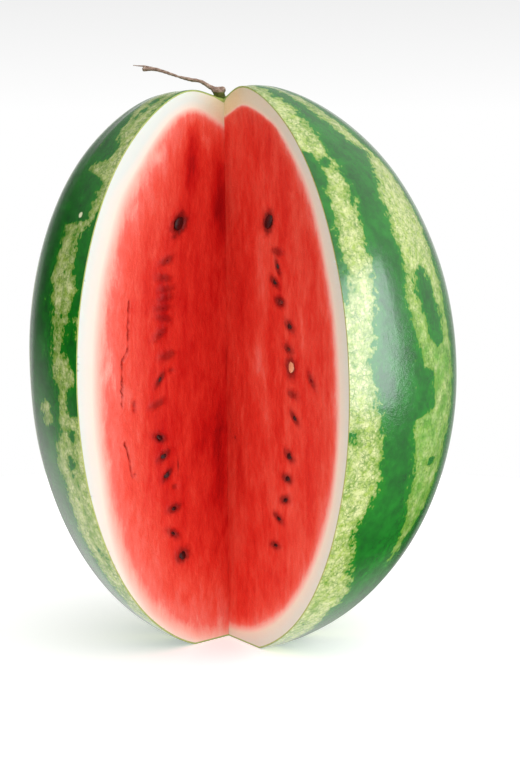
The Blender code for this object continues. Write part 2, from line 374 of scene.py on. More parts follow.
GREENER_UNDER = (-70, -10)  # minus the heights in mm where the greener part starts and is full
LEAST_BAND_RADIUS = 0.045  # metres; nearer to the poles the bands' edges stay as coarse as here
PALE_SPECK = (92, -53)  # a small scar, by height in mm and turn in degrees
PALE_SPECK_RADIUS = 1.8 * MM


def back_bands():
    for i, middle in enumerate(BACK_BANDS):
        edges = []
        for side in (-1, 1):
            edge = []
            for height in range(-160, 161, 32):
                wander = 5 * noise.noise(Vector((height / 70, i, 0.5)))
                width = BACK_BAND_HALF_WIDTH + 4 * noise.noise(Vector((height / 40, i, 9.5 + side)))
                edge.append((height, middle + wander + side * width))
            edges.append(edge)
        yield edges


def inside_band(height, turn, edges):
    """How many degrees inside the band a place is, below 0 outside it."""
    first, last = (np.interp(height, *zip(*edge)) for edge in edges)
    return np.minimum(turn - first, last - turn)


def band_field(points):
    """How far inside a light band each point of the skin is, in mm and below 0 in the dark bands, and
    how far it is in the lower part of the right band, which is greener, from 0 to 1."""
    local = to_fruit(points)
    height = local[:, 2]
    turn = np.degrees(np.arctan2(local[:, 0] - bow(height), -local[:, 1])) % 360
    bands = [inside_band(height / MM, turn, edges) for edges in (*LIGHT_BANDS, *back_bands())]
    islands = [inside_band(height / MM, turn, edges) for edges in DARK_ISLANDS]
    degrees = np.minimum(np.max(bands, 0), -np.max(islands, 0))
    inside = np.radians(degrees) * np.maximum(body_radius(height), LEAST_BAND_RADIUS) / MM
    right = smooth_step(inside_band(height / MM, turn, BAND_RIGHT), -4, 0)
    return inside, right * smooth_step(-height / MM, *GREENER_UNDER)


def skin_place(height, turn):
    """The point of the skin at this height in mm and turn in degrees."""
    height, turn = height * MM, math.radians(turn)
    radius = float(body_radius(height))
    local = (bow(height) + radius * math.sin(turn), -radius * math.cos(turn), height)
    return to_world(np.array(local))


def depths(tree, points):
    return np.array([tree.find_nearest(Vector(point))[3] for point in points])


def build_skin():
    turns = np.linspace(RIGHT_FACE_TURN, 2 * math.pi + LEFT_FACE_TURN, SKIN_COLUMNS + 1)
    outer = sections(turns, SKIN_ROWS, 0.0)
    inner = sections(turns, SKIN_ROWS, SKIN_THICKNESS)
    inner = waved(outer, inner)
    outer = waved(outer, outer)
    left = np.stack([outer[:, -1], inner[:, -1]], 1)
    right = np.stack([inner[:, 0], outer[:, 0]], 1)
    sheets = [
        (outer, (0.01, 0.05, 0.965, 0.99)),
        (left, (0.97, 0.05, 0.978, 0.99)),
        (inner[:, ::-1], (0.01, 0.005, 0.965, 0.04)),
        (right, (0.985, 0.05, 0.993, 0.99)),
    ]
    mesh = woven("melon_skin", sheets)
    points = mesh_points(mesh)
    under = BVHTree.FromPolygons(*as_polygons(outer))
    sunk = depths(under, points)
    from_stem = np.linalg.norm(points - to_world(np.array((0, 0, HALF_LENGTH - CAVITY_DEPTH))), axis=1)
    band, greener = band_field(points)
    add_attribute(mesh, "band", band)
    add_attribute(mesh, "greener", greener)
    add_attribute(mesh, "cut_edge", smooth_step(sunk, 0.1 * SKIN_THICKNESS, 0.9 * SKIN_THICKNESS))
    add_attribute(mesh, "stem_end", 0.85 * np.exp(-((from_stem / (7 * MM)) ** 2)))
    mesh.set_sharp_from_angle(angle=math.radians(50))
    new_piece("melon_skin", mesh, skin_look(), "melon")


def as_polygons(sheet):
    """A sheet's points and its quads, as lists."""
    rows, columns = sheet.shape[:2]
    index = np.arange(rows * columns).reshape(rows, columns)
    quads = np.stack([index[:-1, :-1], index[:-1, 1:], index[1:, 1:], index[1:, :-1]], -1)
    return sheet.reshape(-1, 3).tolist(), quads.reshape(-1, 4).tolist()


# ---- the flesh

# Each cut face has its turn, its side, how deep the white rind turns pink by height share, how red the
# flesh is by its depth under that, how much deeper the rind is at the stem, all in mm, and how creamy the
# rind is. The right face's creamier rind is partly its own colour and partly painted shade, and the left
# face's redness partly painted light and shade. Places on a face are height shares and mm from the inner
# edge.
LEFT_FACE = {
    "turn": LEFT_FACE_TURN,
    "sign": 1,
    "rind": ((0.1, 6.5), (0.2, 9.5), (0.35, 16), (0.55, 17.4), (0.75, 17.8), (0.87, 15.5), (0.94, 11.5)),
    # On this face the flesh stays coral far out and reddens deeper in: partly its own colour, partly
    # painted light on the outer part that the window lights, and painted shade towards the inner edge
    "tones": ((-15, 0), (-7, 0.08), (0, 0.26), (5, 0.38), (12, 0.45), (24, 0.52), (36, 0.64), (60, 0.72)),
    "stem_rind": 4,
    "rind_cream_and_shade": 0,
    # Redder places, and paler ones below 0: place, half sizes as a share and in mm, change of tone
    "patches": (
        (0.865, 25, 0.06, 5, 0.26),
        # This and the next patch redden the flesh beside the inner edge: partly its own colour, partly
        # painted shade in the cut-out's crease
        (0.8, 4, 0.075, 6, 0.32),
        (0.34, 6, 0.09, 6, 0.2),
        (0.87, 51, 0.024, 8, -0.15),
        (0.9, 36, 0.02, 6, -0.06),
        (0.6, 60, 0.12, 5, 0.06),
        (0.38, 20, 0.08, 6, 0.08),
        (0.6, 49, 0.09, 3.5, 0.16),
        (0.38, 52, 0.06, 4, 0.12),
    ),
    # Dark spots and empty pockets: place, half height and half width in mm, and a spot's strength
    "spots": ((0.738, 39.5, 2, 3.2, 0.7), (0.453, 70.6, 1.2, 1.2, 0.7), (0.345, 38.6, 4.5, 0.8, 0.8)),
    "pockets": ((0.463, 70.2, 3.4, 2.2), (0.308, 41, 2.6, 3.2), (0.511, 42.5, 2.2, 3)),
    # Cracks as lines of places; their grooves get painted shade
    "cracks": (
        ((0.638, 73.1), (0.6, 74.2), (0.559, 74.3), (0.548, 76.5), (0.539, 79), (0.463, 79.4)),
        ((0.401, 77.9), (0.372, 75), (0.342, 73.1), (0.344, 70.5)),
    ),
}
RIGHT_FACE = {
    "turn": RIGHT_FACE_TURN,
    "sign": -1,
    "rind": ((0.1, 12.6), (0.3, 10.5), (0.5, 12), (0.7, 12.5), (0.85, 9), (0.92, 8), (0.955, 11)),
    "tones": ((-9, 0), (-4, 0.08), (0, 0.27), (3, 0.44), (7, 0.55), (15, 0.6), (40, 0.6), (80, 0.64)),
    "stem_rind": 1.5,
    # Creamier rind on this face: partly its own colour, partly painted shade of a face turned away from
    # the window
    "rind_cream_and_shade": 0.26,
    "patches": (
        (0.65, 37, 0.07, 6, -0.14),
        (0.525, 36, 0.045, 6, -0.22),
        (0.43, 43.5, 0.035, 3, -0.1),
        (0.58, 78.7, 0.03, 1.5, -0.12),
        (0.515, 27.6, 0.025, 3, -0.09),
        (0.6, 15, 0.06, 6, 0.16),
        (0.78, 62, 0.09, 5, 0.08),
        (0.64, 57, 0.035, 2.5, 0.16),
        (0.86, 34, 0.03, 2, 0.1),
        (0.86, 10, 0.04, 5, -0.08),
        (0.32, 13, 0.05, 5, 0.14),
        (0.3, 85, 0.05, 5, 0.08),
    ),
    "spots": ((0.379, 8.4, 1.4, 1.2, 0.8),),
    "pockets": (),
    "cracks": (),
}
STEM_RIND_REACH = 8.5  # mm
TAN_REACH = 17.0  # mm
TOP_SHARPNESS = 1.5  # how much more sudden the change to red is at the top
CRACK_HALF_WIDTH = 0.75  # mm, like the next two
CRACK_DEPTH = 2.4
CRACK_JAG = 0.9
POCKET_DEPTH = 1.2  # mm
COVER_HEIGHT = 1.0  # mm of flesh over a seed that is quite covered
SEED_COVERS = {  # how far the flesh covers a seed, from 0 to 1, by side and number
    "left": (
        0.2, 0.72, 0.84, 0.9, 0.92, 0.9, 0.9, 0.88, 0.86, 0.42, 0.8, 0.52, 0.5, 0.32, 0.5, 0.5, 0.5,
    ),
    "right": (
        0.2, 0.72, 0.45, 0.35, 0.35, 0.5, 0.55, 0.45, 0.68, 0.7, 0.5, 0.5, 0.4, 0.45, 0.5, 0.5,
    ),
}
# The waves of a face: how high they are, their lumps' height and width, all in mm, and their layer
FACE_WAVES = ((0.42, 38, 17, 0), (0.16, 19, 4.5, 3), (0.09, 5.5, 2.6, 6), (0.06, 1.9, 1.6, 8))
RELIEF_FADE = 2.0  # mm from the rim, the inner edge and the floor


def whole_skin():
    """A search tree of the fruit's surface as it would be with no flat and no cut-out."""
    heights = HALF_LENGTH * np.cos(np.linspace(0, math.pi, 90))
    turns = np.linspace(0, 2 * math.pi, 121)
    radius = body_radius(heights)[:, None]
    x, y = radius * np.sin(turns), -radius * np.cos(turns)
    z = heights[:, None] - np.where(heights[:, None] > 0, cavity(x, y), 0)
    surface = np.stack([x + bow(heights)[:, None], y, z + 0 * x], -1)
    return BVHTree.FromPolygons(*as_polygons(to_world(surface)))


def face_places(points, face):
    """Height share and metres from the inner edge, for points on a cut face."""
    local = to_fruit(points)
    rimward = np.array((math.sin(face["turn"]), -math.cos(face["turn"])))
    across = (local[:, :2] - inner_edge(local[:, 2])[:, :2]) @ rimward
    return local[:, 2] / (2 * HALF_LENGTH) + 0.5, across


def face_outward(face):
    """The direction that a cut face looks in."""
    up = to_world(inner_edge(HALF_LENGTH)) - to_world(inner_edge(-HALF_LENGTH))
    rimward = FRUIT_FRAME[:3, :3] @ (math.sin(face["turn"]), -math.cos(face["turn"]), 0)
    normal = np.cross(up, rimward) * face["sign"]
    return normal / np.linalg.norm(normal)


def bump_shape(share, across, centre, half_sizes):
    """1 in the middle of an oval that fades out at twice its half sizes (share, mm)."""
    up = (share - centre[0]) / half_sizes[0]
    side = (across / MM - centre[1]) / half_sizes[1]
    return np.exp(-(up**2 + side**2))


def line_distance(share, across, line):
    """The distance in mm from each place to a line of (height share, mm from the inner edge)."""
    scale = np.array((FRUIT_LENGTH, 1))
    places = np.stack([share, across / MM], -1) * scale
    nearest = np.full(len(share), np.inf)
    for start, end in zip(line, line[1:]):
        start, end = np.array(start) * scale, np.array(end) * scale
        along = end - start
        t = np.clip((places - start) @ along / (along @ along), 0, 1)
        nearest = np.minimum(nearest, np.linalg.norm(places - start - t[:, None] * along, axis=1))
    return nearest


def face_tone(face, share, across, depth):
    """How red the flesh is, from 0 in the white rind to 1. On the left face this is partly painted light
    and shade.
    """
    stem_extra = face["stem_rind"] * np.exp(-np.abs(across) / MM / STEM_RIND_REACH)
    near_top = smooth_step(share, 0.80, 0.93)
    rind = np.interp(share, *zip(*face["rind"])) + stem_extra * near_top
    sharper = 1 + TOP_SHARPNESS * near_top
    tone = np.interp((depth / MM - rind) * sharper, *zip(*face["tones"]))
    flesh = smooth_step(tone, 0.2, 0.45)
    for height, place, half_height, half_width, change in face["patches"]:
        patch = bump_shape(share, across, (height, place), (half_height, half_width))
        tone = tone + change * flesh * patch
    return tone


def seed_cover(node):
    _, side, number = node.split("_")
    return SEED_COVERS[side][int(number) - 1]


def seed_marks(points, seeds):
    """How far the seeds raise a face's flesh, in mm and below 0 in a pocket, and how much darker red they
    make it.
    """
    relief, stain_and_shade = np.zeros((2, len(points)))
    wobble = 0.45 * noise_at(points / (2.2 * MM))
    for node, (centre, axes, half_sizes) in seeds.items():
        cover = seed_cover(node)
        # How many times the seed's own size each point lies from its middle
        reach = np.linalg.norm((points - centre) @ axes / half_sizes, axis=1) + wobble
        relief -= POCKET_DEPTH * (1 - cover) * smooth_step(1.35 - reach, 0, 0.45)
        relief += COVER_HEIGHT * cover * smooth_step(3.2 - reach, 0, 2.0)
        halo = smooth_step(2.9 + cover - reach, 0, 1.8 + cover)
        stain_and_shade = np.maximum(stain_and_shade, (0.85 - 0.30 * cover) * halo)
    return relief, stain_and_shade


def spot_marks(face, share, across):
    """How far a face's empty pockets raise it, which is below 0, and how much darker the pockets and the
    face's spots are.
    """
    relief, stain_and_shade = np.zeros((2, len(share)))
    for *place, half_height, half_width in face["pockets"]:
        hollow = bump_shape(share, across, place, (half_height / FRUIT_LENGTH, half_width))
        relief -= POCKET_DEPTH * hollow
        stain_and_shade = np.maximum(stain_and_shade, 0.55 * smooth_step(hollow, 0.35, 0.9))
    for *place, half_height, half_width, strength in face["spots"]:
        spot = bump_shape(share, across, place, (half_height / FRUIT_LENGTH, half_width))
        stain_and_shade = np.maximum(stain_and_shade, strength * spot)
    return relief, stain_and_shade


def face_noise(face, share, across, tall, wide, layer):
    """Noise on a cut face, in lumps of this height and width in mm."""
    side = np.full(len(share), 10.0 * face["sign"] + layer)
    return noise_at(np.stack([share * FRUIT_LENGTH / tall, across / MM / wide, side], 1))


def crack_marks(face, share, across):
    """How far a face's cracks raise it: a lip on each side of a groove that gapes here and there. Also
    painted shade down the groove, darkest where it gapes.
    """
    jag = CRACK_JAG * MM * face_noise(face, share, across, 2.3, math.inf, 0)
    gap = np.min([line_distance(share, across + jag, line) for line in face["cracks"]], 0)
    gaping = 0.25 + 0.75 * smooth_step(face_noise(face, share, across, 5, math.inf, 4), -0.4, 0.1)
    groove = CRACK_DEPTH * gaping * smooth_step(CRACK_HALF_WIDTH - gap, 0, CRACK_HALF_WIDTH)
    lips = 0.25 * np.exp(-(((gap - 1.3) / 0.6) ** 2))
    # The second value is painted shade: the groove darkens where it gapes
    return lips - groove, 0.85 * gaping * smooth_step(0.9 - gap, 0, 0.8)


def face_tan_and_shade(face, share, across, tone):
    """How creamy a face is. Only its rind is, and most of all round the stem, where it is the rind's own
    colour; on the right face the rest is partly painted shade.
    """
    from_stem = np.hypot(across / MM, np.maximum(1 - share, 0) * 100)
    near_stem = np.exp(-((from_stem / TAN_REACH) ** 2))
    # The face's share is partly painted shade; the share round the stem is the rind's own colour
    cream_and_shade = face["rind_cream_and_shade"] * (1 + smooth_step(share, 0.86, 0.97)) + 0.75 * near_stem
    return np.clip(cream_and_shade, 0, 0.9) * (1 - smooth_step(tone, 0.06, 0.24))


def shape_face(points, face, tree, seeds):
    """The moved points of a cut face, and their tone, their dark marks with painted shade down the
    cracks, and their creaminess, which is partly painted shade.
    """
    share, across = face_places(points, face)
    depth = depths(tree, points)
    tone = face_tone(face, share, across, depth)
    flesh = smooth_step(tone, 0.15, 0.42)
    relief = sum(high * face_noise(face, share, across, *lumps) for high, *lumps in FACE_WAVES)
    marks = [seed_marks(points, seeds), spot_marks(face, share, across)]
    if face["cracks"]:
        marks.append(crack_marks(face, share, across))
    raised, stains_and_shade = zip(*marks)
    relief = relief * (0.10 + 0.90 * flesh) + sum(raised)
    edge = np.minimum(np.minimum(depth - SKIN_THICKNESS, across), points[:, 2])
    fade = smooth_step(edge / MM, 0, RELIEF_FADE)
    moved = points + face_outward(face) * (relief * fade * MM)[:, None]
    return moved, tone, np.max(stains_and_shade, 0) * flesh, face_tan_and_shade(face, share, across, tone)


def build_flesh(seeds):
    turns = np.linspace(RIGHT_FACE_TURN, 2 * math.pi + LEFT_FACE_TURN, INNER_COLUMNS + 1)
    outer = sections(turns, FLESH_ROWS, 0.0)
    shell = waved(outer, sections(turns, FLESH_ROWS, SKIN_THICKNESS))
    columns = ladder(FACE_COLUMNS, [(0.46, 0.12, 1.6), (0.69, 0.04, 1.6)])
    left = face_sheet(shell[:, -1], columns)
    right = face_sheet(shell[:, 0], columns)
    tree = whole_skin()
    fields = {}
    for name, sheet, face in (("left", left, LEFT_FACE), ("right", right, RIGHT_FACE)):
        moved, *values = shape_face(sheet.reshape(-1, 3), face, tree, seeds)
        sheet[:] = moved.reshape(sheet.shape)
        fields[name] = [value.reshape(sheet.shape[:2]) for value in values]
    hidden = [np.zeros(shell.shape[:2])] * 3
    sheets = [
        (left[:, ::-1], (0.01, 0.01, 0.46, 0.99)),
        (right, (0.47, 0.01, 0.92, 0.99)),
        (shell, (0.93, 0.01, 0.99, 0.99)),
    ]
    values = [[field[:, ::-1] for field in fields["left"]], fields["right"], hidden]
    mesh = woven("melon_flesh", sheets, dict(zip(("tone", "stain_and_shade", "tan"), zip(*values))))
    mesh.set_sharp_from_angle(angle=math.radians(60))
    new_piece("melon_flesh", mesh, flesh_look(), "melon")


# ---- the seeds

SEED_RINGS = 18
SEED_SIDES = 20
PALE_SEEDS = ("seed_right_08",)
BROWN_SEEDS = ("seed_right_02", "seed_right_05", "seed_right_07", "seed_right_10")


def seed_seat(node):
    """The middle of a CAD seed, its axes as columns (thickness, width, and length to the point)
    and its half sizes."""
    points = mesh_points(bpy.data.objects[node].data)
    centre = points.mean(0)
    _, _, rows = np.linalg.svd(points - centre)
    axes = rows[::-1].T.copy()
    local = (points - centre) @ axes
    middle = (local.max(0) + local.min(0)) / 2
    half_sizes = (local.max(0) - local.min(0)) / 2
    along = (local - middle)[:, 2] / half_sizes[2]
    wide = np.abs((local - middle)[:, 1])
    if wide[along > 0.3].max() > wide[along < -0.3].max():
        axes[:, 2] *= -1
    axes[:, 0] = np.cross(axes[:, 1], axes[:, 2])
    return centre + rows[::-1].T @ middle, axes, half_sizes


def seed_mesh(name, seat, number):
    """A flat drop with a thin rim round its edge and a blunt beak at its point."""
    centre, axes, half_sizes = seat
    ring, side = np.mgrid[: SEED_RINGS + 1, :SEED_SIDES]
    t = np.cos(math.pi * ring / SEED_RINGS)
    angle = 2 * math.pi * side / SEED_SIDES
    width = np.sqrt(np.maximum(1 - t * t, 0)) * (1 - 0.35 * np.maximum(t, 0) ** 1.3)
    beak = 0.10 * np.exp(-(((t - 0.93) / 0.08) ** 2))
    flat = np.abs(np.cos(angle)) ** 1.15 * np.sign(np.cos(angle))
    ridge = np.exp(-((np.cos(angle) / 0.22) ** 2))
    lumps = noise_at(np.stack([2 * t, 2 * angle, number + 0 * t], -1).reshape(-1, 3))
    x = flat * width * (1 - 0.12 * lumps.reshape(t.shape)) * (1 - 0.15 * ridge)
    y = np.sin(angle) * (width * (1 + 0.03 * ridge) + beak * np.abs(np.sin(angle)))
    points = centre + (half_sizes * np.stack([x, y, t], -1)) @ axes.T
    index = ring * SEED_SIDES + side
    after = np.roll(index, -1, 1)
    faces = np.stack([index[:-1], index[1:], after[1:], after[:-1]], -1)
    mesh = bpy.data.meshes.new(name)
    mesh.from_pydata(points.reshape(-1, 3).tolist(), [], faces.reshape(-1, 4).tolist())
    add_attribute(mesh, "rim", 0.6 * ridge.ravel())
    drop = bmesh.new()
    drop.from_mesh(mesh)
    bmesh.ops.remove_doubles(drop, verts=drop.verts, dist=1e-5)
    bmesh.ops.recalc_face_normals(drop, faces=drop.faces)
    drop.to_mesh(mesh)
    drop.free()
    mesh.shade_smooth()
    return mesh


def build_seeds(seats):
    dark = seed_look("dark_seed", (38, 6, 8), (74, 12, 12), (90, 18, 16))
    brown = seed_look("brown_seed", (92, 18, 14), (130, 38, 28), (142, 52, 38))
    pale = seed_look("pale_seed", (226, 140, 104), (242, 178, 134), (246, 200, 160))
    sunk = seed_look("sunk_seed", (120, 8, 12), (150, 14, 16), (150, 18, 18), gloss=0.3)
    for number, (node, seat) in enumerate(seats.items()):
        if seed_cover(node) > 0.6:
            look = sunk
        else:
            look = pale if node in PALE_SEEDS else brown if node in BROWN_SEEDS else dark
        new_piece(f"{node}_coat", seed_mesh(node, seat, number), look, node)


# ---- the stem

SHAFT_THICKNESS = 2.2 * MM
# The shaft's course in mm from the floor of the stem cavity, and its share of the thickness
SHAFT = (
    ((-1.2, 0, 4.6), 1.35),
    ((-4.5, -0.6, 6.6), 1.20),
    ((-9.8, -1.4, 10), 0.90),
    ((-16.5, -2, 11.6), 0.98),
    ((-22.2, -1.9, 13.3), 0.64),
    ((-26.2, -1.2, 14.9), 0.80),
    ((-31, 0, 16.7), 0.86),
    ((-35.2, 1.2, 18), 0.98),
    ((-41, 2.2, 18.2), 1.10),
)
WISP = (
    ((-33.5, 0.8, 17.8), 0.40),
    ((-37.5, 1.4, 19.3), 0.38),
    ((-42, 2, 20), 0.36),
    ((-46.8, 2.2, 20.6), 0.30),
)
# The knob's lumps: middle and half sizes in mm
KNOB = (
    ((0, 0, 1.2), (3.4, 3.4, 4)),
    ((-1.4, -1, 4.6), (2.6, 2.4, 2.2)),
    ((1.8, -0.4, 5), (2, 2.2, 2)),
    ((0.4, 1.6, 4.8), (2.8, 2, 2)),
    ((0.6, -2.2, 2.2), (2.2, 1.4, 3)),
    ((0, 0, -1.6), (1.8, 1.8, 2.4)),
)
STEM_VOXEL = 0.28 * MM
STEM_RIDGES = 0.22 * MM
WOODY_FROM = 4.6 * MM  # over the cavity's floor; below it the knob is still green


def along_course(knots, step):
    """Points and radii every step along a smooth line through the knots."""
    places = np.array([place for place, _ in knots]) * MM
    thick = np.array([share for _, share in knots]) * SHAFT_THICKNESS / 2
    lengths = np.concatenate([[0], np.cumsum(np.linalg.norm(np.diff(places, axis=0), axis=1))])
    tangents = np.gradient(places, lengths, axis=0)
    out = []
    for at in np.arange(0, lengths[-1] + step / 2, step):
        i = min(np.searchsorted(lengths, at, side="right") - 1, len(knots) - 2)
        span = lengths[i + 1] - lengths[i]
        t = min((at - lengths[i]) / span, 1)
        weights = (2 * t**3 - 3 * t**2 + 1, t**3 - 2 * t**2 + t, 3 * t**2 - 2 * t**3, t**3 - t**2)
        spot = weights[0] * places[i] + weights[2] * places[i + 1]
        spot = spot + span * (weights[1] * tangents[i] + weights[3] * tangents[i + 1])
        out.append((spot, (1 - t) * thick[i] + t * thick[i + 1]))
    return out


def build_stem():
    lumps = bmesh.new()
    for middle, half_sizes in KNOB:
        size = Vector(half_sizes) * MM
        place = Matrix.Translation(Vector(middle) * MM) @ Matrix.Diagonal((*size, 1))
        bmesh.ops.create_icosphere(lumps, subdivisions=3, radius=1, matrix=place)
    for course in (SHAFT, WISP):
        for spot, radius in along_course(course, 0.45 * MM):
            place = Matrix.Translation(spot)
            bmesh.ops.create_icosphere(lumps, subdivisions=2, radius=radius, matrix=place)
    mesh = bpy.data.meshes.new("stem_lumps")
    lumps.to_mesh(mesh)
    lumps.free()
    lump = placed("stem_lumps", mesh)
    remesh = lump.modifiers.new("remesh", "REMESH")
    remesh.mode = "VOXEL"
    remesh.voxel_size = STEM_VOXEL
    bpy.context.view_layer.update()
    mesh = bpy.data.meshes.new_from_object(lump.evaluated_get(bpy.context.evaluated_depsgraph_get()))
    bpy.data.objects.remove(lump)
    mesh.name = "stem"
    points = mesh_points(mesh)
    normals = np.array([vertex.normal for vertex in mesh.vertices])
    ridges = noise_at(points * (180, 1300, 1300)) + 0.6 * noise_at(points * (700, 900, 900) + 5)
    woody = smooth_step(points[:, 2], WOODY_FROM - 1.6 * MM, WOODY_FROM)
    points = points + normals * (STEM_RIDGES * ridges)[:, None]
    points = to_world(points + (0, 0, HALF_LENGTH - CAVITY_DEPTH))
    mesh.vertices.foreach_set("co", points.astype(np.float32).ravel())
    add_attribute(mesh, "green", 1 - woody)
    mesh.shade_smooth()
    new_piece("stem_dry", mesh, stem_look(), "stem")


# ---- materials


def linear(red, green, blue):
    """A linear colour from an sRGB one in 0 to 255."""
    values = [channel / 255 for channel in (red, green, blue)]
    return tuple(v / 12.92 if v <= 0.04045 else ((v + 0.055) / 1.055) ** 2.4 for v in values)


class Look:
    """A new material, and short ways to add nodes to it. Every method gives an output socket."""

    def __init__(self, name, roughness, **settings):
        self.material = bpy.data.materials.new(name)
        self.material.use_nodes = True
        self.tree = self.material.node_tree
        self.shader = self.tree.nodes["Principled BSDF"]
        self.place = self.node("ShaderNodeTexCoord").outputs["Object"]
        self.shader.inputs["Roughness"].default_value = roughness
        for key, value in settings.items():
            self.shader.inputs[key.replace("_", " ")].default_value = value

    def node(self, kind, **settings):
        made = self.tree.nodes.new(kind)
        for key, value in settings.items():
            setattr(made, key, value)
        return made

    def feed(self, socket, value):
        if isinstance(value, bpy.types.NodeSocket):
            self.tree.links.new(value, socket)
        else:
            socket.default_value = value

    def attribute(self, name):
        return self.node("ShaderNodeAttribute", attribute_name=name).outputs["Fac"]

    def math(self, operation, first, second):
        made = self.node("ShaderNodeMath", operation=operation)
        self.feed(made.inputs[0], first)
        self.feed(made.inputs[1], second)
        return made.outputs[0]

    def vector_math(self, operation, first, second):
        made = self.node("ShaderNodeVectorMath", operation=operation)
        self.feed(made.inputs[0], first)
        self.feed(made.inputs[1], second)
        return made.outputs["Value" if operation == "DISTANCE" else "Vector"]

    def stretched(self, x, y, z):
        """The place with each axis scaled, so that a pattern is drawn out along the small ones."""
        return self.vector_math("MULTIPLY", self.place, (x, y, z))

    def noise(self, size, detail=2.0, place=None, rough=0.5, twist=0.0):
        """Noise from about -1 to 1, with lumps of about this size in metres."""
        made = self.node("ShaderNodeTexNoise")
        self.feed(made.inputs["Vector"], place or self.place)
        made.inputs["Scale"].default_value = 1 / size
        made.inputs["Detail"].default_value = detail
        made.inputs["Roughness"].default_value = rough
        made.inputs["Distortion"].default_value = twist
        return self.ranged(made.outputs["Fac"], 0.25, 0.75, -1, 1, clamp=False)

    def cells(self, size, place, edges=True):
        """The distance, in cell sizes, to the nearest border or centre of a cell."""
        feature = "DISTANCE_TO_EDGE" if edges else "F1"
        made = self.node("ShaderNodeTexVoronoi", feature=feature)
        self.feed(made.inputs["Vector"], place)
        made.inputs["Scale"].default_value = 1 / size
        return made.outputs["Distance"]

    def shaken(self, size, amount):
        """The place moved about by noise of this size, by up to this many metres."""
        made = self.node("ShaderNodeTexNoise")
        self.feed(made.inputs["Vector"], self.place)
        made.inputs["Scale"].default_value = 1 / size
        centred = self.vector_math("SUBTRACT", made.outputs["Color"], (0.5, 0.5, 0.5))
        scaled = self.vector_math("MULTIPLY", centred, (2 * amount,) * 3)
        return self.vector_math("ADD", self.place, scaled)

    def ranged(self, value, low, high, to_low=0.0, to_high=1.0, clamp=True, smooth=False):
        made = self.node("ShaderNodeMapRange", clamp=clamp)
        if smooth:
            made.interpolation_type = "SMOOTHSTEP"
        for socket, given in zip(made.inputs, (value, low, high, to_low, to_high)):
            self.feed(socket, given)
        return made.outputs[0]

    def mix(self, share, first, second):
        """A mix of two colours, each a socket or in sRGB."""
        made = self.node("ShaderNodeMix", data_type="RGBA")
        self.feed(made.inputs["Factor"], share)
        for socket, colour in ((made.inputs[6], first), (made.inputs[7], second)):
            self.feed(socket, (*linear(*colour), 1) if isinstance(colour, tuple) else colour)
        return made.outputs[2]

    def ramp(self, value, stops):
        """Colours in sRGB by value, from a list of (value, colour)."""
        made = self.node("ShaderNodeValToRGB")
        self.feed(made.inputs[0], value)
        elements = made.color_ramp.elements
        while len(elements) < len(stops):
            elements.new(0.5)
        for element, (at, colour) in zip(elements, stops):
            element.position = at
            element.color = (*linear(*colour), 1)
        return made.outputs[0]

    def total(self, *terms):
        """The sum of (socket, factor) pairs and of plain sockets."""
        parts = [self.math("MULTIPLY", *term) if isinstance(term, tuple) else term for term in terms]
        return reduce(lambda total, part: self.math("ADD", total, part), parts)

    def finish(self, colour, relief, depth):
        """Sets the colour, and a bump whose height is relief times depth in metres."""
        self.feed(self.shader.inputs["Base Color"], colour)
        bump = self.node("ShaderNodeBump")
        bump.inputs["Distance"].default_value = depth
        self.feed(bump.inputs["Height"], relief)
        self.feed(self.shader.inputs["Normal"], bump.outputs[0])
        return self.material


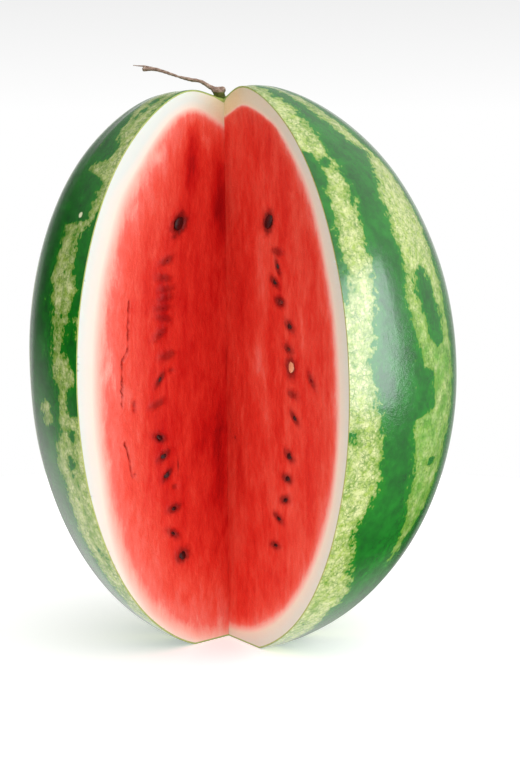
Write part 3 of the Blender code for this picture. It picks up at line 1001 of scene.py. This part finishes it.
def skin_look():
    """Dark and light bands with feathery edges, and a net of fine green veins in the light ones."""
    look = Look("watermelon_skin", 0.16, Specular_IOR_Level=0.4, Coat_Weight=0.25, Coat_Roughness=0.1)
    low = look.stretched(1, 1, 0.8)
    edge = look.total(
        look.attribute("band"),
        (look.noise(13 * MM, 2, low), 2.6),
        (look.noise(5.0 * MM, 3, low, 0.65), 3.8),
        (look.noise(2.0 * MM, 2, low, 0.6), 2.4),
    )
    light = look.ranged(edge, -0.9, 0.9, smooth=True)
    clouds = look.noise(6 * MM, 3, rough=0.6)
    wandering = look.shaken(2.5 * MM, 1.0 * MM)
    net = look.ranged(look.cells(2.7 * MM, wandering), 0.03, 0.20, 1, 0, smooth=True)
    fine = look.ranged(look.cells(1.3 * MM, wandering), 0.04, 0.25, 0.55, 0, smooth=True)
    patchy = look.ranged(look.noise(7 * MM, 2, rough=0.6), -0.8, 0.7, 0.15, 1.0)
    veins = look.math("MULTIPLY", look.math("MAXIMUM", net, fine), patchy)
    lumps = look.noise(3.6 * MM, 3, rough=0.65)
    pale = look.mix(look.ranged(lumps, -0.6, 0.5), (162, 186, 84), (214, 218, 158))
    blotchy = look.ranged(look.noise(9 * MM, 2, rough=0.6), -0.8, 0.6, 0.25, 0.95)
    greener = look.math("MULTIPLY", look.attribute("greener"), blotchy)
    pale = look.mix(greener, pale, (92, 156, 40))
    pale = look.mix(look.math("MULTIPLY", veins, 0.75), pale, (72, 122, 34))
    dots = look.ranged(look.noise(1.5 * MM, 2, rough=0.6), 0.15, 0.75, 0, 0.6)
    pale = look.mix(dots, pale, (66, 112, 38))
    pale = look.mix(look.ranged(edge, 0.2, 5.0, 0.85, 0), pale, (96, 140, 30))
    deep = look.ramp(
        look.ranged(look.total(clouds, (look.noise(22 * MM, 2), 0.8)), -1.6, 1.6),
        [(0.0, (4, 70, 16)), (0.5, (6, 98, 18)), (1.0, (16, 124, 24))],
    )
    deep = look.mix(look.ranged(edge, -6.0, -0.5, 0, 0.75), deep, (12, 122, 8))
    centres = look.cells(5.2 * MM, look.shaken(4 * MM, 2 * MM), edges=False)
    flecks = look.ranged(centres, 0.05, 0.17, 1, 0)
    flecks = look.math("MULTIPLY", flecks, look.ranged(look.noise(14 * MM, 1), 0.2, 0.8))
    deep = look.mix(look.math("MULTIPLY", flecks, 0.45), deep, (96, 150, 52))
    colour = look.mix(light, deep, pale)
    from_speck = look.vector_math("DISTANCE", look.shaken(2 * MM, 0.5 * MM), skin_place(*PALE_SPECK))
    speck = look.ranged(from_speck, 0.7 * PALE_SPECK_RADIUS, PALE_SPECK_RADIUS, 1, 0)
    colour = look.mix(speck, colour, (228, 232, 190))
    colour = look.mix(look.attribute("stem_end"), colour, (74, 84, 26))
    cut_edge = look.ranged(look.attribute("cut_edge"), 0.05, 0.35)
    colour = look.mix(cut_edge, colour, (168, 184, 104))
    relief = look.total(
        (look.noise(0.55 * MM, 3), 0.35), (look.noise(2.6 * MM, 2), 0.5), (veins, -0.35), (light, 0.25)
    )
    return look.finish(colour, relief, 0.05 * MM)


def flesh_look():
    """White rind that turns to pink, coral and deep red, with fibres drawn out along the fruit."""
    look = Look("watermelon_flesh", 0.42, Specular_IOR_Level=0.25, Subsurface_Weight=0.12)
    look.shader.inputs["Subsurface Radius"].default_value = (1.0, 0.25, 0.15)
    look.shader.inputs["Subsurface Scale"].default_value = 2.5 * MM
    fibres = look.noise(3.0 * MM, 3, look.stretched(1, 1, 0.30), 0.6, 0.5)
    threads = look.noise(1.1 * MM, 2, look.stretched(1, 1, 0.35), 0.6)
    grain = look.noise(0.9 * MM, 3, rough=0.65)
    patches = look.noise(8 * MM, 2, look.stretched(1, 1, 0.38), 0.55, 0.6)
    broad = look.noise(20 * MM, 1, look.stretched(1, 1, 0.30))
    redness = look.attribute("tone")
    in_flesh = look.ranged(redness, 0.15, 0.5)
    change = look.total(
        (fibres, 0.075), (threads, 0.026), (grain, 0.020), (patches, 0.085), (broad, 0.065)
    )
    tone = look.total(redness, look.math("MULTIPLY", change, in_flesh))
    colour = look.ramp(
        tone,
        [
            (0, (216, 227, 221)), (0.10, (238, 228, 214)), (0.22, (246, 184, 168)),
            (0.36, (240, 112, 98)), (0.50, (236, 81, 63)), (0.64, (225, 53, 39)),
            (0.82, (202, 22, 18)), (1, (160, 6, 10)),
        ],
    )
    # Creamy rind: its own colour round the stem, and partly painted shade on the right face
    tan = look.mix(look.ranged(grain, -1, 1), (226, 196, 146), (238, 214, 170))
    colour = look.mix(look.attribute("tan"), colour, tan)
    # Darker red round seeds, in pockets and at spots, and painted shade down the cracks
    stain_and_shade_colour = look.ramp(look.attribute("stain_and_shade"), [(0.3, (170, 8, 14)), (0.7, (84, 4, 8))])
    colour = look.mix(look.attribute("stain_and_shade"), colour, stain_and_shade_colour)
    relief = look.total((fibres, 0.35), (threads, 0.25), (grain, 0.55))
    relief = look.math("MULTIPLY", relief, look.ranged(redness, 0.0, 0.4, 0.12, 1))
    return look.finish(colour, relief, 0.12 * MM)


def stem_look():
    """Dry and fibrous, with green left at the root."""
    look = Look("dry_stem", 0.78, Specular_IOR_Level=0.3)
    fibres = look.noise(0.7 * MM, 4, look.stretched(0.25, 1, 1), 0.65)
    blotches = look.noise(2.6 * MM, 3, rough=0.6)
    colour = look.ramp(
        look.ranged(look.total(fibres, blotches), -1.7, 1.7),
        [(0.0, (88, 66, 58)), (0.4, (150, 122, 108)), (0.7, (186, 162, 146)), (1.0, (214, 196, 178))],
    )
    green = look.mix(look.ranged(blotches, -1, 1), (62, 70, 20), (122, 128, 56))
    colour = look.mix(look.attribute("green"), colour, green)
    return look.finish(colour, look.total(fibres, (blotches, 0.6)), 0.22 * MM)


def seed_look(name, dark, light, rim, gloss=1.0):
    """A hard coat with faint mottling, and another colour along its rim."""
    look = Look(name, 0.40, Specular_IOR_Level=0.3 * gloss, Coat_Weight=0.08 * gloss, Coat_Roughness=0.2)
    mottle = look.noise(0.9 * MM, 4, rough=0.6)
    colour = look.mix(look.ranged(mottle, -0.7, 0.9), dark, light)
    colour = look.mix(look.attribute("rim"), colour, rim)
    return look.finish(colour, look.noise(0.35 * MM, 3), 0.03 * MM)


def floor_look():
    look = Look("pale_table", 0.5, Specular_IOR_Level=0.3)
    look.shader.inputs["Emission Color"].default_value = (1, 1, 1, 1)
    look.shader.inputs["Emission Strength"].default_value = 0.40
    colour = look.mix(look.ranged(look.noise(0.25, 2), -1, 1), (238, 238, 238), (242, 243, 244))
    return look.finish(colour, look.noise(1.5 * MM, 2), 0.01 * MM)


# ---- camera, floor and light

CAMERA_DISTANCE = 1.15  # in front of the fruit's middle
CAMERA_HEIGHT = 0.30
CAMERA_SIDE = 0.016  # how far to +X of the fruit's frame
CAMERA_PITCH = math.radians(7.79)  # below level
CAMERA_LENS = 94.6  # mm on a sensor 36 mm along the picture's longer side

# The room, as bright as its brightest part: a part's side, how squarely a direction points there where
# the part starts and where it is full, and how bright it is at both
ROOM = (
    ((0.40, -0.50, 0.77), (-0.45, 1), (0.05, 1.52)),  # above, in front and to the right
    ((-0.30, 0.35, -0.88), (0.50, 0.80), (0, 1.2)),  # from below, for the table that gloss doesn't show
    ((0, 1, 0), (0.85, 1), (0, 0.9)),  # right behind
)
ROOM_COLOUR = (1, 0.99, 0.98, 1)
BACKDROP = ((0, 0, 1), (0, 0.055), (1.0, 0.87))  # white, and greyer towards the top of the picture
TABLE_RADIUS = 0.55
LIGHT_TARGET = Vector((0, 0, 0.16))
LIGHT_DISTANCE = 1.2
# The window to the right, and its panes as gloss shows them: turn in degrees from -Y towards +X, height,
# size and brightness
WINDOW = (78, 0.58, (0.8, 0.9), 2.8)
PANES = (69, 0.31, (0.85, 0.80), 7.0)
PANES_COLOUR = (0.88, 0.90, 1.0)


def add_camera():
    data = bpy.data.cameras.new("camera")
    data.sensor_width = 36
    data.lens = CAMERA_LENS
    camera = placed("camera", data)
    camera.location = (FRUIT_FRAME[0, 3] + CAMERA_SIDE, -CAMERA_DISTANCE, CAMERA_HEIGHT)
    camera.rotation_euler = (math.pi / 2 - CAMERA_PITCH, 0, 0)
    bpy.context.scene.camera = camera


def add_floor():
    """A pale round table. Past its edge is the backdrop, as white to the camera as the table."""
    disc = bmesh.new()
    bmesh.ops.create_circle(disc, cap_ends=True, segments=96, radius=TABLE_RADIUS)
    mesh = bpy.data.meshes.new("floor")
    disc.to_mesh(mesh)
    disc.free()
    floor = placed("floor", mesh)
    mesh.materials.append(floor_look())
    floor.visible_glossy = False


def add_area_light(name, turn, height, size, brightness):
    """A soft box at this turn round the fruit that looks at it, as bright as this to look into."""
    turn = math.radians(turn)
    place = (LIGHT_DISTANCE * math.sin(turn), -LIGHT_DISTANCE * math.cos(turn), height)
    data = bpy.data.lights.new(name, "AREA")
    data.shape = "RECTANGLE"
    data.size, data.size_y = size
    data.energy = brightness * math.pi * size[0] * size[1]
    light = placed(name, data)
    light.location = place
    light.rotation_euler = (LIGHT_TARGET - Vector(place)).to_track_quat("-Z", "Y").to_euler()
    return light


def add_lights():
    """The window's light, and its panes as the glossy skin shows them."""
    window = add_area_light("window", *WINDOW)
    window.visible_glossy = False
    panes = add_area_light("panes", *PANES)
    panes.visible_diffuse = False
    panes.data.color = PANES_COLOUR


def add_world():
    """White to the camera, and the room to everything else."""
    world = bpy.data.worlds.new("studio")
    world.use_nodes = True
    bpy.context.scene.world = world
    nodes, links = world.node_tree.nodes, world.node_tree.links
    room, out = nodes["Background"], nodes["World Output"]
    place = nodes.new("ShaderNodeTexCoord").outputs["Generated"]

    def towards(side, reach, brightness):
        """How bright a part is by how squarely a direction points to its side."""
        dot = nodes.new("ShaderNodeVectorMath")
        dot.operation = "DOT_PRODUCT"
        links.new(place, dot.inputs[0])
        dot.inputs[1].default_value = side
        shade = nodes.new("ShaderNodeMapRange")
        links.new(dot.outputs["Value"], shade.inputs[0])
        for socket, value in zip(shade.inputs[1:5], (*reach, *brightness)):
            socket.default_value = value
        return shade.outputs[0]

    brightest = towards(*ROOM[0])
    for part in ROOM[1:]:
        larger = nodes.new("ShaderNodeMath")
        larger.operation = "MAXIMUM"
        links.new(brightest, larger.inputs[0])
        links.new(towards(*part), larger.inputs[1])
        brightest = larger.outputs[0]
    links.new(brightest, room.inputs["Strength"])
    room.inputs["Color"].default_value = ROOM_COLOUR
    seen = nodes.new("ShaderNodeBackground")
    seen.inputs["Color"].default_value = (1, 1, 1, 1)
    links.new(towards(*BACKDROP), seen.inputs["Strength"])
    choice = nodes.new("ShaderNodeMixShader")
    links.new(nodes.new("ShaderNodeLightPath").outputs["Is Camera Ray"], choice.inputs[0])
    links.new(room.outputs[0], choice.inputs[1])
    links.new(seen.outputs[0], choice.inputs[2])
    links.new(choice.outputs[0], out.inputs["Surface"])


seats = {node: seed_seat(node) for node in sorted(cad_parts) if node.startswith("seed_")}
build_skin()
build_flesh(seats)
build_seeds(seats)
build_stem()
add_camera()
add_floor()
add_world()
add_lights()
bpy.context.scene.view_settings.view_transform = "Standard"
